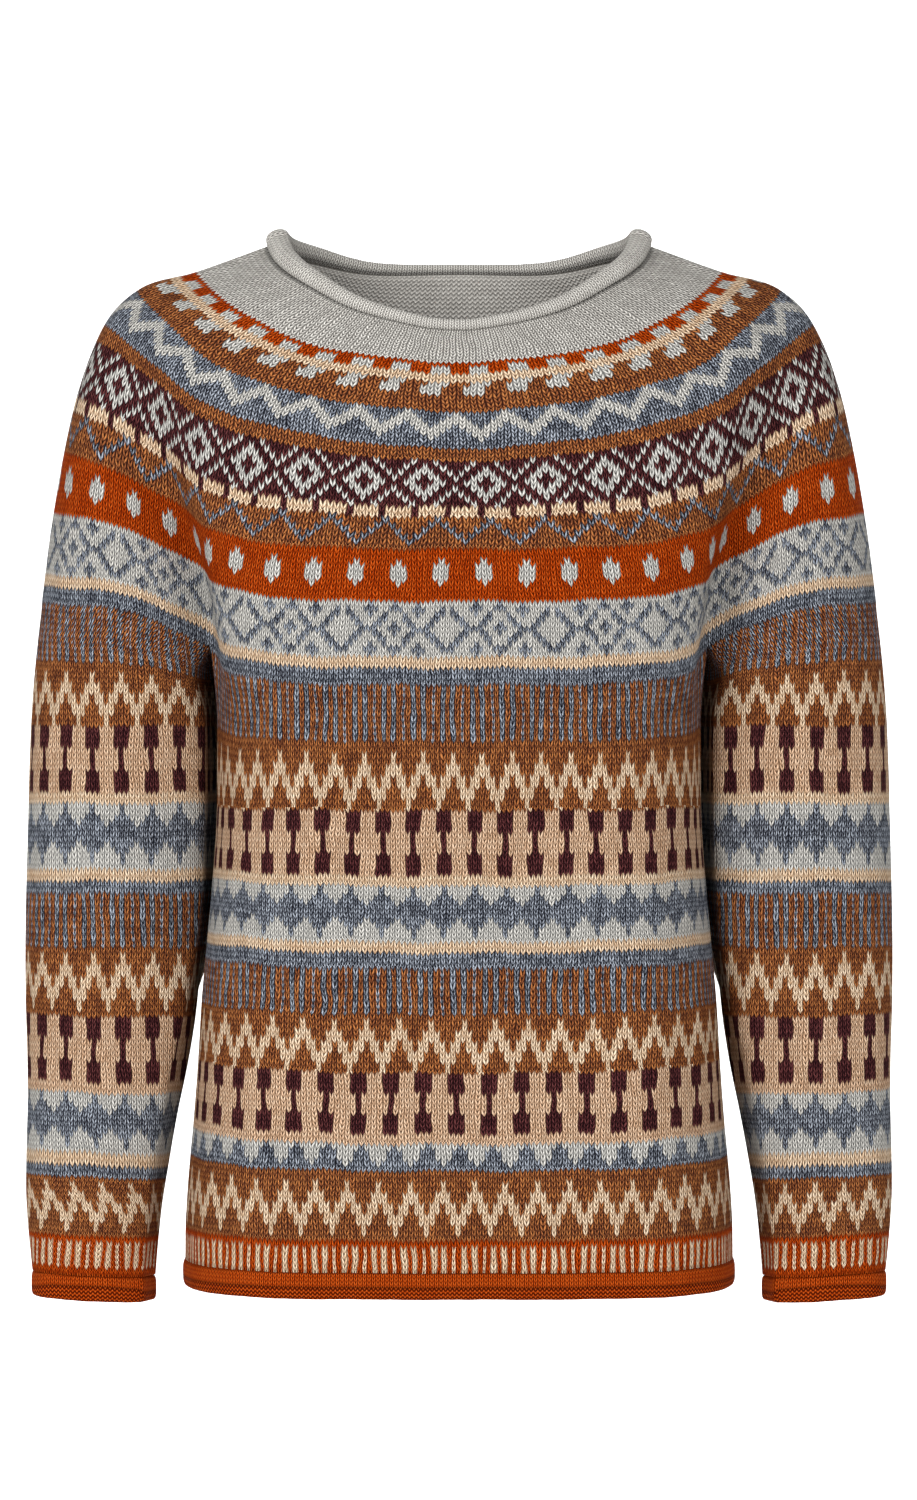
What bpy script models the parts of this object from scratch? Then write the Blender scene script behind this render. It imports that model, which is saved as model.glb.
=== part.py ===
"""Round-yoke jumper, filled out and hollow, as if worn. Units are metres in Blender; the tables are in mm.

The front faces -Y, +Z is up and +X is the viewer's right from the front. The origin lies between the two
shoulders, level with the ends of the neckline seam, where a wearer's shoulders hold the garment.
Each knitted piece is a wall of even thickness through rings of named stations. A ring's stations are
mirrored from its right half, and the two sides of a seam share their points, a hair apart.
"""

import math

import bpy
import numpy as np

MM = 0.001
WALL = 2.5  # thickness of the stranded knit
SEAM_GAP = 0.3  # clearance between two knitted pieces at a seam
UNDERARM_GAP = 0.6  # clearance between body and sleeve along the underarm seam
CORNER_GAP = 1.1  # further clearance where yoke, body and sleeve meet
UNDERARM_SAG = 8  # how far the middle of the underarm seam hangs below its ends

FRONT_COLUMNS = 24  # faces from one armhole fold to the other, across the front
BACK_COLUMNS = 18
ARM_COLUMNS = 12  # faces round the upper arm, from the front fold to the back one
UNDERARM_COLUMNS = 4  # faces along the underarm seam
YOKE_STEPS = 2  # rings of faces between two rows of the yoke table
# Where a yoke ring meets the four armhole folds: right front, right back, left back, left front.
FOLD_COLUMNS = (0, ARM_COLUMNS, ARM_COLUMNS + BACK_COLUMNS, 2 * ARM_COLUMNS + BACK_COLUMNS)

ROLL_SIDES = 8
# Half sizes of the neck's rolled edge at the centre front and back and at its two sides, along the cloth
# (reach) and across it (depth), and how far it stands out over the cloth's middle there.
NECK_ROLL = {"reach": (3.7, 7.2), "depth": (3.7, 5.2), "stand_out": (0, 3)}
HEM_ROLL = {"height": 15.6, "depth": 7.6, "overhang": 1.4, "fullness": 0.55}
CUFF_ROLL = {"height": 15.2, "depth": 7.0, "overhang": 1.0, "fullness": 0.55}

# One row per edge of a colour band, from the neckline down to where body and sleeves part. Each station is
# (x, y, z): centre front, chest, lip of the armhole fold, bottom of the fold, front of the arm, outer arm.
# A seventh, the bulge, is worked out between the last two, so that the arm rounds away as an oval.
# back_depth scales the front's depth for the back, and back_lift raises the back over the front at centre.
# The neck edge has back_rise instead, station by station.
YOKE_RINGS = (
    dict(name="neck edge", front=(0, -78, -46.4), chest=(55, -70.5, -36), lip=(90, -52, -18),
         fold=(106, -33, -6), arm=(112.5, -14, 4.5), outer=(114, 4, 10.2),
         back_depth=0.85, back_rise=(45, 34, 21.5, 12, 4.5, 1.5, 0)),
    dict(name="collar", front=(0, -90, -66), chest=(80, -80, -56), lip=(120, -62, -38),
         fold=(140, -43.5, -24), arm=(152, -20, -11.5), outer=(156.2, 4, -5.2),
         back_depth=0.93, back_lift=18),
    dict(name="squares", front=(0, -102, -95.3), chest=(85, -93.5, -85.5), lip=(140, -74, -66.5),
         fold=(168, -55, -43), arm=(186, -29, -25), outer=(192, 4, -16.2),
         back_depth=0.95, back_lift=17),
    dict(name="slate", front=(0, -107, -117.1), chest=(90, -99, -107.5), lip=(145, -81, -90),
         fold=(176, -64, -68), arm=(201, -37, -46), outer=(211.8, 4, -36),
         back_depth=0.95, back_lift=16),
    dict(name="brown", front=(0, -108.5, -124.4), chest=(90, -101, -116), lip=(147, -82, -98.5),
         fold=(177, -62, -76.5), arm=(204, -37, -55), outer=(217.2, 4, -46.2),
         back_depth=0.95, back_lift=16),
    dict(name="diamonds", front=(0, -111, -150.9), chest=(92, -104, -146), lip=(147, -80, -133),
         fold=(175, -54, -112), arm=(207, -43, -91), outer=(229, 3, -79.2),
         back_depth=0.94, back_lift=15),
    dict(name="thin zigzag", front=(0, -113, -175.3), chest=(92, -107, -173), lip=(144, -82, -163),
         fold=(166.5, -46, -146), arm=(203, -49, -126), outer=(236.6, 2, -112.8),
         back_depth=0.93, back_lift=14),
    dict(name="dots", front=(0, -115, -205.5), chest=(91, -108, -204), lip=(140, -82, -195.5),
         fold=(155, -42, -182), arm=(196, -54, -161), outer=(243, 1, -149.1),
         back_depth=0.91, back_lift=13.5),
    dict(name="lattice", front=(0, -115, -237.8), chest=(90, -108, -236.5), lip=(136, -80, -229.5),
         fold=(149, -39, -214.5), arm=(193, -56, -195), outer=(248, 0, -185.4),
         back_depth=0.89, back_lift=12),
    dict(name="parting", front=(0, -115, -253.5), chest=(90, -108, -252.5), lip=(134, -79, -246),
         fold=(147.5, -38, -231), arm=(192, -56, -210.5), outer=(250, 0, -202.2),
         back_depth=0.88, back_lift=11.5),
)
BULGE_ANGLE = math.radians(42)
FOLD, BACK_FOLD, HALF_RING = 3, 9, 12  # station numbers: the right folds and the centre back

# Body below the parting, one row per level: half width, and how far the front and the back stand from x-z.
BODY_LEVELS = (
    dict(z=-272, half_width=144.6, front=-114.8, back=100),
    dict(z=-300, half_width=144.6, front=-113.5, back=97),
    dict(z=-335, half_width=144.8, front=-110.5, back=95),
    dict(z=-372, half_width=147.2, front=-108, back=96),
    dict(z=-410, half_width=150.6, front=-107, back=98.5),
    dict(z=-446, half_width=153.9, front=-107, back=101.5),
    dict(z=-482, half_width=156, front=-108, back=104),
    dict(z=-518, half_width=158.6, front=-109, back=106),
    dict(z=-554, half_width=162, front=-110, back=107),
    dict(z=-577, half_width=163.4, front=-110.5, back=107.3),
    dict(z=-596, half_width=163.6, front=-110.5, back=107.3),
)
# Corners of a body ring, as shares of its half width and of its depth.
BODY_CORNERS = {"chest": (0.62, 0.94), "lip": (0.885, 0.68), "fold": (0.982, 0.34)}

# Sleeve below the parting, one row per level: its outer edge z, how much lower the inner edge is, the inner
# and outer edges in x, the middle and half depth in y, and how far its back corner tucks in behind the body.
SLEEVE_LEVELS = (
    dict(z=-228, drop=16, inner=148.6, outer=252.6, middle=-1, half_depth=54.5, tuck=3),
    dict(z=-262, drop=10, inner=148.6, outer=255.8, middle=1, half_depth=54, tuck=11),
    dict(z=-300, drop=8, inner=148.6, outer=257.8, middle=3, half_depth=53, tuck=15),
    dict(z=-340, drop=7, inner=149.2, outer=258.9, middle=4, half_depth=52, tuck=16),
    dict(z=-380, drop=6, inner=151.4, outer=260, middle=4, half_depth=50.5, tuck=16),
    dict(z=-420, drop=5, inner=155.4, outer=260.4, middle=3, half_depth=48, tuck=10),
    dict(z=-448, drop=4, inner=158.2, outer=260, middle=1.5, half_depth=46, tuck=3),
    dict(z=-476, drop=3, inner=162.6, outer=259, middle=0, half_depth=43.5, tuck=0),
    dict(z=-504, drop=2, inner=168.2, outer=258.6, middle=-2, half_depth=41, tuck=0),
    dict(z=-532, drop=1, inner=173.2, outer=259.2, middle=-4, half_depth=38.5, tuck=0),
    dict(z=-560, drop=0, inner=177.6, outer=259.2, middle=-5.5, half_depth=36, tuck=0),
    dict(z=-584, drop=0, inner=180, outer=257.4, middle=-7, half_depth=34, tuck=0),
    dict(z=-603.5, drop=0, inner=181.6, outer=255.4, middle=-7.5, half_depth=32.5, tuck=0),
)
# Corners of a sleeve ring, as shares of its width from the inner edge and of its half depth.
SLEEVE_FRONT = ((0.085, -0.66), (0.44, -1), (0.86, -0.67), (1, 0))
SLEEVE_BACK = ((0.86, 0.67), (0.44, 1))
SLEEVE_TUCK = (0.085, 0.78)

ASH = (0.36, 0.35, 0.33)
RUST = (0.52, 0.10, 0.02)
BROWN = (0.27, 0.11, 0.045)
KNIT_ROUGHNESS = 0.92


def smooth(knots, places):
    """Catmull-Rom through rows of numbers, read at fractional row numbers."""
    knots = np.asarray(knots, float)
    places = np.clip(np.asarray(places, float), 0, len(knots) - 1)
    at = np.minimum(places.astype(int), len(knots) - 2)
    t = (places - at).reshape((-1,) + (1,) * (knots.ndim - 1))
    padded = np.concatenate([[2 * knots[0] - knots[1]], knots, [2 * knots[-1] - knots[-2]]])
    a, b, c, d = padded[at], padded[at + 1], padded[at + 2], padded[at + 3]
    return b + t * ((c - a) + t * ((2 * a - 5 * b + 4 * c - d) + t * (3 * (b - c) + d - a))) / 2


def even_run(stations, first, last, faces, fineness=16):
    """Points evenly spaced along the smooth curve through the stations, from one station to another."""
    around = np.concatenate([stations[-2:], stations, stations[:2]])
    fine = smooth(around, np.linspace(first + 2, last + 2, (last - first) * fineness + 1))
    along = np.concatenate([[0], np.cumsum(np.linalg.norm(np.diff(fine, axis=0), axis=1))])
    wanted = np.linspace(0, along[-1], faces + 1)
    return np.stack([np.interp(wanted, along, fine[:, axis]) for axis in range(3)], axis=1)


def yoke_half(row):
    """The right half of a yoke ring, from centre front round the arm to centre back: 13 stations."""
    arm, outer = np.array(row["arm"], float), np.array(row["outer"], float)
    bulge = arm + (outer - arm) * (math.cos(BULGE_ANGLE), 1 - math.sin(BULGE_ANGLE), 0.7)
    front = np.array([row["front"], row["chest"], row["lip"], row["fold"], arm, bulge, outer], float)
    share = np.clip(front[:, 0] / front[-1, 0], 0, 1)
    back = front.copy()
    back[:, 1] = -front[:, 1] * row["back_depth"]
    back[:, 2] += row["back_rise"] if "back_rise" in row else row["back_lift"] * (1 - share**3)
    return np.concatenate([front, back[-2::-1]])


def mirrored(half):
    """A whole ring from its right half, starting at centre front and going by +X."""
    other = half[-2:0:-1] * np.array([-1, 1, 1])
    return np.concatenate([half, other])


def yoke_rings():
    """Points of the yoke ring by ring, each from the right front fold round the arm and the back."""
    halves = np.array([yoke_half(row) for row in YOKE_RINGS])
    count = (len(YOKE_RINGS) - 1) * YOKE_STEPS + 1
    rings = []
    for half in smooth(halves, np.linspace(0, len(YOKE_RINGS) - 1, count)):
        ring = mirrored(half)
        turned = np.roll(ring, HALF_RING, axis=0)
        arm = even_run(ring, FOLD, BACK_FOLD, ARM_COLUMNS)[:-1]
        back = even_run(ring, BACK_FOLD, FOLD + HALF_RING, BACK_COLUMNS)[:-1]
        other_arm = even_run(ring, FOLD + HALF_RING, BACK_FOLD + HALF_RING, ARM_COLUMNS)[:-1]
        front = even_run(turned, BACK_FOLD, FOLD + HALF_RING, FRONT_COLUMNS)[:-1]
        rings.append(np.concatenate([arm, back, other_arm, front]))
    return np.array(rings)


def body_half(level):
    """The right half of a body ring, from centre front to centre back: 9 stations."""
    corners = [BODY_CORNERS[name] for name in ("chest", "lip", "fold")]
    width = level["half_width"]
    front = [(0, level["front"])] + [(across * width, depth * level["front"]) for across, depth in corners]
    back = [(0, level["back"])] + [(across * width, depth * level["back"]) for across, depth in corners]
    plan = np.array(front + [(width, 0)] + back[::-1], float)
    return np.column_stack([plan, np.full(len(plan), level["z"])])


def underarm(front_fold, back_fold):
    """The underarm seam's points from the front fold of the arm to the back one, both ends included."""
    shares = np.linspace(0, 1, UNDERARM_COLUMNS + 1)[:, None]
    sag = np.sin(math.pi * shares) * (0, 0, -UNDERARM_SAG)
    return front_fold + shares * (back_fold - front_fold) + sag


def body_rings(parting):
    """Front and back panels of the body, each from its left side seam to its right one, top to bottom."""
    reach = UNDERARM_COLUMNS // 2
    front, back = [], []
    for level in BODY_LEVELS:
        ring = mirrored(body_half(level))
        turned = np.roll(ring, 8, axis=0)
        for panel, around, faces in ((front, turned, FRONT_COLUMNS), (back, ring, BACK_COLUMNS)):
            panel.append(np.concatenate([
                even_run(around, 4, 5, reach)[:-1],
                even_run(around, 5, 11, faces)[:-1],
                even_run(around, 11, 12, reach),
            ]))
    around = parting - (0, 0, SEAM_GAP)
    right_front, right_back, left_back, left_front = around[list(FOLD_COLUMNS)] - (0, 0, CORNER_GAP)
    shift = np.array((UNDERARM_GAP / 2, 0, 0))
    right = underarm(right_front, right_back) - shift
    left = underarm(left_front, left_back) + shift
    first_front = around[FOLD_COLUMNS[3] + 1:]
    first_back = around[FOLD_COLUMNS[1] + 1:FOLD_COLUMNS[2]]
    front.insert(0, np.concatenate([left[reach::-1], first_front, right[:reach + 1]]))
    back.insert(0, np.concatenate([right[reach:], first_back, left[:reach - 1:-1]]))
    return np.array(front), np.array(back)


def sleeve_ring(level):
    """A right sleeve ring, from the front corner by the body round the arm to the inner edge: 8 stations."""
    width = level["outer"] - level["inner"]
    tuck = (SLEEVE_TUCK[0] - level["tuck"] / width, SLEEVE_TUCK[1])
    return np.array([
        (
            level["inner"] + across * width,
            level["middle"] + depth * level["half_depth"],
            level["z"] - level["drop"] * (1 - across),
        )
        for across, depth in (*SLEEVE_FRONT, *SLEEVE_BACK, tuck, (0, 0))
    ])


def sleeve_rings(parting):
    """Points of the right sleeve ring by ring, each from the front fold round the arm to the underarm."""
    around = parting - (0, 0, SEAM_GAP)
    arm = around[:FOLD_COLUMNS[1] + 1].copy()
    arm[(0, -1), 0] += UNDERARM_GAP / 2
    arm[(0, -1), 2] -= CORNER_GAP
    rings = [np.concatenate([arm[:-1], underarm(arm[0], arm[-1])[:0:-1]])]
    for level in SLEEVE_LEVELS:
        ring = sleeve_ring(level)
        corners = np.concatenate([ring[6:], ring[:1]])
        seam = [np.interp(np.linspace(0, 2, UNDERARM_COLUMNS + 1), (0, 1, 2), axis) for axis in corners.T]
        rings.append(np.concatenate([even_run(ring, 0, 6, ARM_COLUMNS)[:-1], np.transpose(seam)[:-1]]))
    return np.array(rings)


def outward(grid, closed, flat_rows=()):
    """Unit normals of a grid of rings that run by +X round the garment, seen from above, top to bottom."""
    if closed:
        along = np.roll(grid, -1, axis=1) - np.roll(grid, 1, axis=1)
    else:
        along = np.gradient(grid, axis=1)
        along[:, (0, -1), 0] = 0
    down = np.gradient(grid, axis=0)
    for row in flat_rows:
        down[row] = (0, 0, -1)
        along[row, :, 2] = 0
    normals = np.cross(down, along)
    return normals / np.linalg.norm(normals, axis=2, keepdims=True)


def add_piece(name, points, faces, color):
    mesh = bpy.data.meshes.new(name)
    mesh.from_pydata((np.asarray(points) * MM).tolist(), [], faces)
    mesh.shade_smooth()
    mesh.validate()
    piece = bpy.data.objects.new(name, mesh)
    bpy.context.scene.collection.objects.link(piece)
    finish = bpy.data.materials.new(name + "_yarn")
    finish.use_nodes = True
    shader = finish.node_tree.nodes["Principled BSDF"]
    shader.inputs["Base Color"].default_value = (*color, 1)
    shader.inputs["Roughness"].default_value = KNIT_ROUGHNESS
    shader.inputs["Metallic"].default_value = 0
    mesh.materials.append(finish)
    return piece


def grid_faces(rows, columns, closed, start, flip):
    faces = []
    for row in range(rows - 1):
        for column in range(columns if closed else columns - 1):
            beside = (column + 1) % columns
            a = start + row * columns + column
            b = start + row * columns + beside
            c = start + (row + 1) * columns + beside
            d = start + (row + 1) * columns + column
            faces.append((a, b, c, d) if flip else (a, d, c, b))
    return faces


def add_wall(name, grid, closed, color, flat_rows=()):
    """A knitted wall: the grid is its outside, and the inside lies one wall thickness in."""
    rows, columns = grid.shape[:2]
    inner = grid - WALL * outward(grid, closed, flat_rows)
    count = rows * columns
    points = np.concatenate([grid.reshape(-1, 3), inner.reshape(-1, 3)])
    faces = grid_faces(rows, columns, closed, 0, False) + grid_faces(rows, columns, closed, count, True)
    for row, top in ((0, True), (rows - 1, False)):
        for column in range(columns if closed else columns - 1):
            a = row * columns + column
            b = row * columns + (column + 1) % columns
            edge = (a, b, b + count, a + count)
            faces.append(edge if top else edge[::-1])
    if not closed:
        for column, left in ((0, True), (columns - 1, False)):
            for row in range(rows - 1):
                a = row * columns + column
                b = a + columns
                edge = (a, a + count, b + count, b)
                faces.append(edge if left else edge[::-1])
    return add_piece(name, points, faces, color)


def add_roll(name, ring, across, up, color, fullness=1.0):
    """A rolled edge: an oval tube swept round a closed ring. across and up are half axes for each point."""
    angles = np.arange(ROLL_SIDES) * math.tau / ROLL_SIDES
    sides = np.column_stack([np.cos(angles), np.sin(angles)]).round(6)
    sides = np.sign(sides) * np.abs(sides) ** fullness
    points = np.concatenate([ring + sideways * across + upward * up for sideways, upward in sides])
    count = len(ring)
    faces = []
    for side in range(ROLL_SIDES):
        for column in range(count):
            a = side * count + column
            b = side * count + (column + 1) % count
            c = (side + 1) % ROLL_SIDES * count + (column + 1) % count
            d = (side + 1) % ROLL_SIDES * count + column
            faces.append((a, b, c, d))
    return add_piece(name, points, faces, color)


def roll_on_edge(name, edge, roll, color):
    """A rolled edge that hangs below the last ring of a wall."""
    ring = edge.copy()
    normals = outward(np.array([ring, ring]), True, (0, 1))[0]
    height, depth = roll["height"] / 2, roll["depth"] / 2
    ring -= normals * (depth - roll["overhang"])
    ring[:, 2] -= SEAM_GAP + height
    up = np.tile((0, 0, height), (len(ring), 1))
    return add_roll(name, ring, normals * depth, up, color, roll["fullness"])


def main():
    for piece in list(bpy.data.objects):
        bpy.data.objects.remove(piece)

    yoke = yoke_rings()
    add_wall("yoke", yoke, True, ASH, flat_rows=(-1,))

    along = np.roll(yoke[0], -1, axis=0) - np.roll(yoke[0], 1, axis=0)
    climb = yoke[0] - yoke[1]
    climb /= np.linalg.norm(climb, axis=1, keepdims=True)
    out = np.cross(-climb, along)
    out /= np.linalg.norm(out, axis=1, keepdims=True)
    side = (np.abs(yoke[0][:, :1]) / YOKE_RINGS[0]["outer"][0]) ** 2
    reach, depth, stand_out = (start + (end - start) * side for start, end in NECK_ROLL.values())
    centre = yoke[0] + climb * (reach + SEAM_GAP) + out * (stand_out - WALL / 2)
    add_roll("neck_roll", centre, out * depth, climb * reach, ASH)

    front, back = body_rings(yoke[-1])
    front[:, (0, -1), 1] = -SEAM_GAP / 2
    back[:, (0, -1), 1] = SEAM_GAP / 2
    add_wall("body_front", front, False, BROWN, flat_rows=(0,))
    add_wall("body_back", back, False, BROWN, flat_rows=(0,))
    roll_on_edge("hem_roll", np.concatenate([front[-1, :-1], back[-1, :-1]]), HEM_ROLL, RUST)

    sleeve = sleeve_rings(yoke[-1])
    other = (sleeve * np.array([-1, 1, 1]))[:, ::-1]
    for side, grid in (("right", sleeve), ("left", other)):
        add_wall(f"sleeve_{side}", grid, True, BROWN, flat_rows=(0,))
        roll_on_edge(f"cuff_roll_{side}", grid[-1], CUFF_ROLL, RUST)


main()
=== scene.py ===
import math
from functools import partialmethod

import bpy
import numpy as np
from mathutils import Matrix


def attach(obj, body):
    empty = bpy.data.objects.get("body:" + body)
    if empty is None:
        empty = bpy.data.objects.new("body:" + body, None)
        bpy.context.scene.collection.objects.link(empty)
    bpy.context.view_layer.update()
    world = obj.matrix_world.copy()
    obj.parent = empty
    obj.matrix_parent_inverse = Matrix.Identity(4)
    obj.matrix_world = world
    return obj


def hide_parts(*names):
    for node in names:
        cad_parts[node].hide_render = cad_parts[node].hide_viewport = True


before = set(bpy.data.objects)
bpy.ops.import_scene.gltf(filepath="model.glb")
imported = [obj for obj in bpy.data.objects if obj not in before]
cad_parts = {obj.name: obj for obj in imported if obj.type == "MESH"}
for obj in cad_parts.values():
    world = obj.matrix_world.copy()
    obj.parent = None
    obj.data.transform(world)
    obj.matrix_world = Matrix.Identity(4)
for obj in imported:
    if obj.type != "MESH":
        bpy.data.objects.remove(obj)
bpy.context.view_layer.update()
print("frame loaded")

# All lengths in the tables are in mm. The front faces -Y and +X is on the viewer's right.
mm = 0.001
sideFlips = (("right", 1), ("left", -1))

# The wall, the faces across each panel and sleeve, and those under each arm, with how far they sag.
cloth = dict(thickness=2.2, frontColumns=88, backColumns=60, armColumns=48, underarmColumns=8, underarmSag=8)

# base, dark fleck and pale fleck, each in sRGB
yarns = dict(
    ash=((200, 196, 189), (168, 164, 158), (216, 213, 206)),
    rust=((172, 62, 7), (136, 42, 4), (190, 81, 22)),
    brown=((138, 80, 46), (80, 43, 31), (180, 114, 64)),
    lightGrey=((200, 197, 190), (168, 167, 163), (216, 213, 207)),
    slate=((108, 113, 123), (38, 40, 50), (168, 175, 186)),
    cream=((224, 194, 162), (198, 160, 124), (238, 214, 186)),
    camel=((212, 174, 142), (178, 138, 106), (228, 196, 166)),
    burgundy=((70, 34, 36), (42, 18, 22), (100, 54, 54)),
)
yarnNumber = {name: number for number, name in enumerate(yarns)}
yarnLetters = dict(a="ash", r="rust", b="brown", l="lightGrey", s="slate", c="cream", k="camel", m="burgundy")

# One line for each knit row, from the top down, and one letter for each stitch of the repeat.
# Small letters are the ground yarn and capitals the figure, and / is a narrow, half hidden figure stitch.
charts = dict(
    collar=["aa"] * 12,
    squares=["rrrrrr"] + ["LLLrrr"] * 2 + ["cccccc"] * 2 + ["LLLbbb"] + ["LLbbbL"] * 2 + ["bbbbbb"] * 4,
    wave=[
        "Lsssssss",
        "LLsssssL",
        "LLLsssLL",
        "sLLLsLLL",
        "ssLLLLLs",
        "sssLLLss",
        "ssssLsss",
        "ssssssss",
        "ssssssss",
    ],
    plainBrown=["bb"] * 3,
    diamonds=[
        "mmLmmmmmLm",
        "LmmLmmmLmm",
        "LLmmLmLmmL",
        "mLLmmLmmLL",
        "mmLLmmmLLm",
        "mLLmmLmmLL",
        "LLmmLmLmmL",
        "LmmLmmmLmm",
        "mmLmmmmmLm",
    ],
    blocks=["Mcccc"] * 2,
    thinZigzag=["Sbbbbbbb", "bSbbbbbS", "bbSbbbSb", "bbbSbSbb", "bbbbSbbb", "bbbbbbbb"],
    dots=["rrrrrrrr"] * 2 + ["Lrrrrrrr"] + ["LLrrrrrL"] * 3 + ["Lrrrrrrr"] + ["rrrrrrrr"] * 3,
    lattice=[
        "SllllSlllllllllllSllll",
        "SSllSSSlllSlSlllSSSllS",
        "llSllSlllSSlSSlllSllSl",
        "llSSllllSSlllSSllllSSl",
        "SllSSllSSlllllSSllSSll",
        "SSllSSSSlllllllSSSSllS",
        "SllSSllSSlllllSSllSSll",
        "llSSllllSSlllSSllllSSl",
        "llSllSlllSSlSSlllSllSl",
        "SSllSSSlllSSSlllSSSllS",
        "SllllSlllllllllllSllll",
    ],
    parting=["cc"] * 2 + ["ss"] * 3,
    stripes=["Sb/bSb"],
    zigzag=["Cbbbbb"] * 2 + ["CCbbbC"] * 2 + ["bCCbCC"] * 2 + ["bbCCCb"] * 2 + ["bbbCbb"] * 2,
    barbells=["MMkkkM"] * 4 + ["Mkkkkk"] * 4 + ["MMkkkM"] * 4,
    chain=["Slllll"] * 2 + ["SSlllS", "SSSlSS"] + ["SSSSSS"] * 3
    + ["SSSlSS", "SSlllS"] + ["Slllll"] * 2 + ["llllll"],
    halfDiamonds=["Slllll"] + ["SSlllS"] * 2 + ["SSSlSS", "SSSSSS"],
    ticks=["Cr/rCr"],
    brown=["bb"], camel=["kk"], cream=["cc"], slate=["ss"], rust=["rr"],
)
# how far a figure stitch spreads over the ground stitch beside it, in stitches (below 0 it draws in)
figureSpread = dict(
    ticks=0.1, stripes=0.06, thinZigzag=0.14, dots=0.06,
    diamonds=-0.07, lattice=-0.08, wave=-0.05,
)
rowSpread = {text: figureSpread[name] for name in figureSpread for text in charts[name]}


def chartRows(*parts):
    rows = []
    for part in parts:
        name, times = part if isinstance(part, tuple) else (part, 1)
        rows += charts[name] * times
    return rows


def readRow(text):
    # the yarns of one charted row, and its figure and narrow stitches as binary numbers
    figure = sum(2**place for place, letter in enumerate(text) if letter.isupper() or letter == "/")
    narrow = sum(2**place for place, letter in enumerate(text) if letter == "/")
    ground = [letter for letter in text if letter.islower()] or [text[0].lower()]
    drawn = [letter.lower() for letter in text if letter.isupper()] or ground
    return dict(
        bits=figure, narrow=narrow, period=len(text), spread=rowSpread.get(text, 0),
        ground=yarnNumber[yarnLetters[ground[0]]], figure=yarnNumber[yarnLetters[drawn[0]]],
    )


def smoothAt(knots, values, at):
    # smooth curve through the values at the knots, read at other places
    knots, values, at = (np.asarray(numbers, float) for numbers in (knots, values, at))
    step = np.diff(knots).reshape((-1,) + (1,) * (values.ndim - 1))
    slope = np.diff(values, axis=0) / step
    tangent = np.concatenate([slope[:1], slope[:1], slope[1:]])
    share = step[:-1] / (step[:-1] + step[1:])
    tangent[1:-1] = slope[:-1] * (1 - share) + slope[1:] * share
    place = np.clip(np.searchsorted(knots, at, side="right") - 1, 0, len(knots) - 2)
    wide = step[place]
    t = (at - knots[place]).reshape(wide.shape[:1] + (1,) * (values.ndim - 1)) / wide
    a, b, p, q = values[place], values[place + 1], tangent[place] * wide, tangent[place + 1] * wide
    return a + t * (p + t * (3 * (b - a) - 2 * p - q + t * (2 * (a - b) + p + q)))


def arcLengths(points):
    # how far along each point lies from the first, measured over the points
    steps = np.linalg.norm(np.diff(points, axis=-2), axis=-1)
    return np.concatenate([np.zeros(steps.shape[:-1] + (1,)), np.cumsum(steps, axis=-1)], axis=-1)


def evenRun(stations, first, last, faces, fineness=16):
    # evenly spaced points on the smooth curve through a ring's stations
    around = np.concatenate([stations[-2:], stations, stations[:2]])
    places = np.linspace(first + 2, last + 2, (last - first) * fineness + 1)
    fine = smoothAt(range(len(around)), around, places)
    along = arcLengths(fine)
    wanted = np.linspace(0, along[-1], faces + 1)
    return np.stack([np.interp(wanted, along, fine[:, axis]) for axis in range(3)], axis=1)


def mirrored(half):
    # a whole ring, from stations between the centre front and the centre back
    return np.concatenate([half, half[-2:0:-1] * np.array([-1, 1, 1])])


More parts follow.
